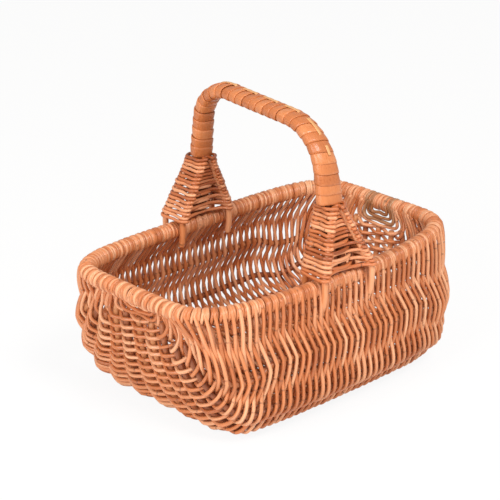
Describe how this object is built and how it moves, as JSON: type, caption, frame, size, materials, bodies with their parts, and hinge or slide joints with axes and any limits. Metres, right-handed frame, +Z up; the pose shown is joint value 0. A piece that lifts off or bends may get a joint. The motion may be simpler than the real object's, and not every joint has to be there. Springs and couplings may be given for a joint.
{
  "type": "trug garden basket",
  "caption": "Oblong woven willow basket with a wrapped rim, lengthwise ribs and a fixed wrapped bow handle on splayed woven feet",
  "frame": {"origin": "middle of the underside, where the basket rests", "axes": "+X along the basket, +Y across it along the handle, +Z up"},
  "size_m": [0.42, 0.307, 0.3345],
  "materials": {
    "weave_willow": "buffed willow rods, satin",
    "rim_willow": "buffed willow rods, satin",
    "foot_willow": "fine buffed willow rods, satin",
    "rib_willow": "thick buffed willow rod, satin",
    "hoop_willow": "thick buffed willow rod, satin",
    "bow_willow": "thick buffed willow rod, satin",
    "leg_willow": "buffed willow rod, satin",
    "skein_willow": "flat shaved willow strip, satin",
    "pale_skein_willow": "flat pale willow strip, satin"
  },
  "bodies": {
    "root": {"rim_hoop": "hoop_willow", "rim_wrap": "rim_willow", "near_side_weave": "weave_willow", "far_side_weave": "weave_willow", "floor_weave": "weave_willow", "left_end_weave": "weave_willow", "right_end_weave": "weave_willow", "keel_rib": "rib_willow", "near_upper_rib": "rib_willow", "near_lower_rib": "rib_willow", "near_edge_rib": "rib_willow", "near_outer_floor_rib": "rib_willow", "near_inner_floor_rib": "rib_willow", "far_upper_rib": "rib_willow", "far_lower_rib": "rib_willow", "far_edge_rib": "rib_willow", "far_outer_floor_rib": "rib_willow", "far_inner_floor_rib": "rib_willow", "left_bow_rod": "bow_willow", "right_bow_rod": "bow_willow", "handle_winding": "skein_willow", "handle_leader": "pale_skein_willow", "near_outer_left_leg": "leg_willow", "near_outer_right_leg": "leg_willow", "near_inner_left_leg": "leg_willow", "near_inner_right_leg": "leg_willow", "far_outer_left_leg": "leg_willow", "far_outer_right_leg": "leg_willow", "far_inner_left_leg": "leg_willow", "far_inner_right_leg": "leg_willow", "near_foot_weave": "foot_willow", "far_foot_weave": "foot_willow"}
  },
  "joints": []
}
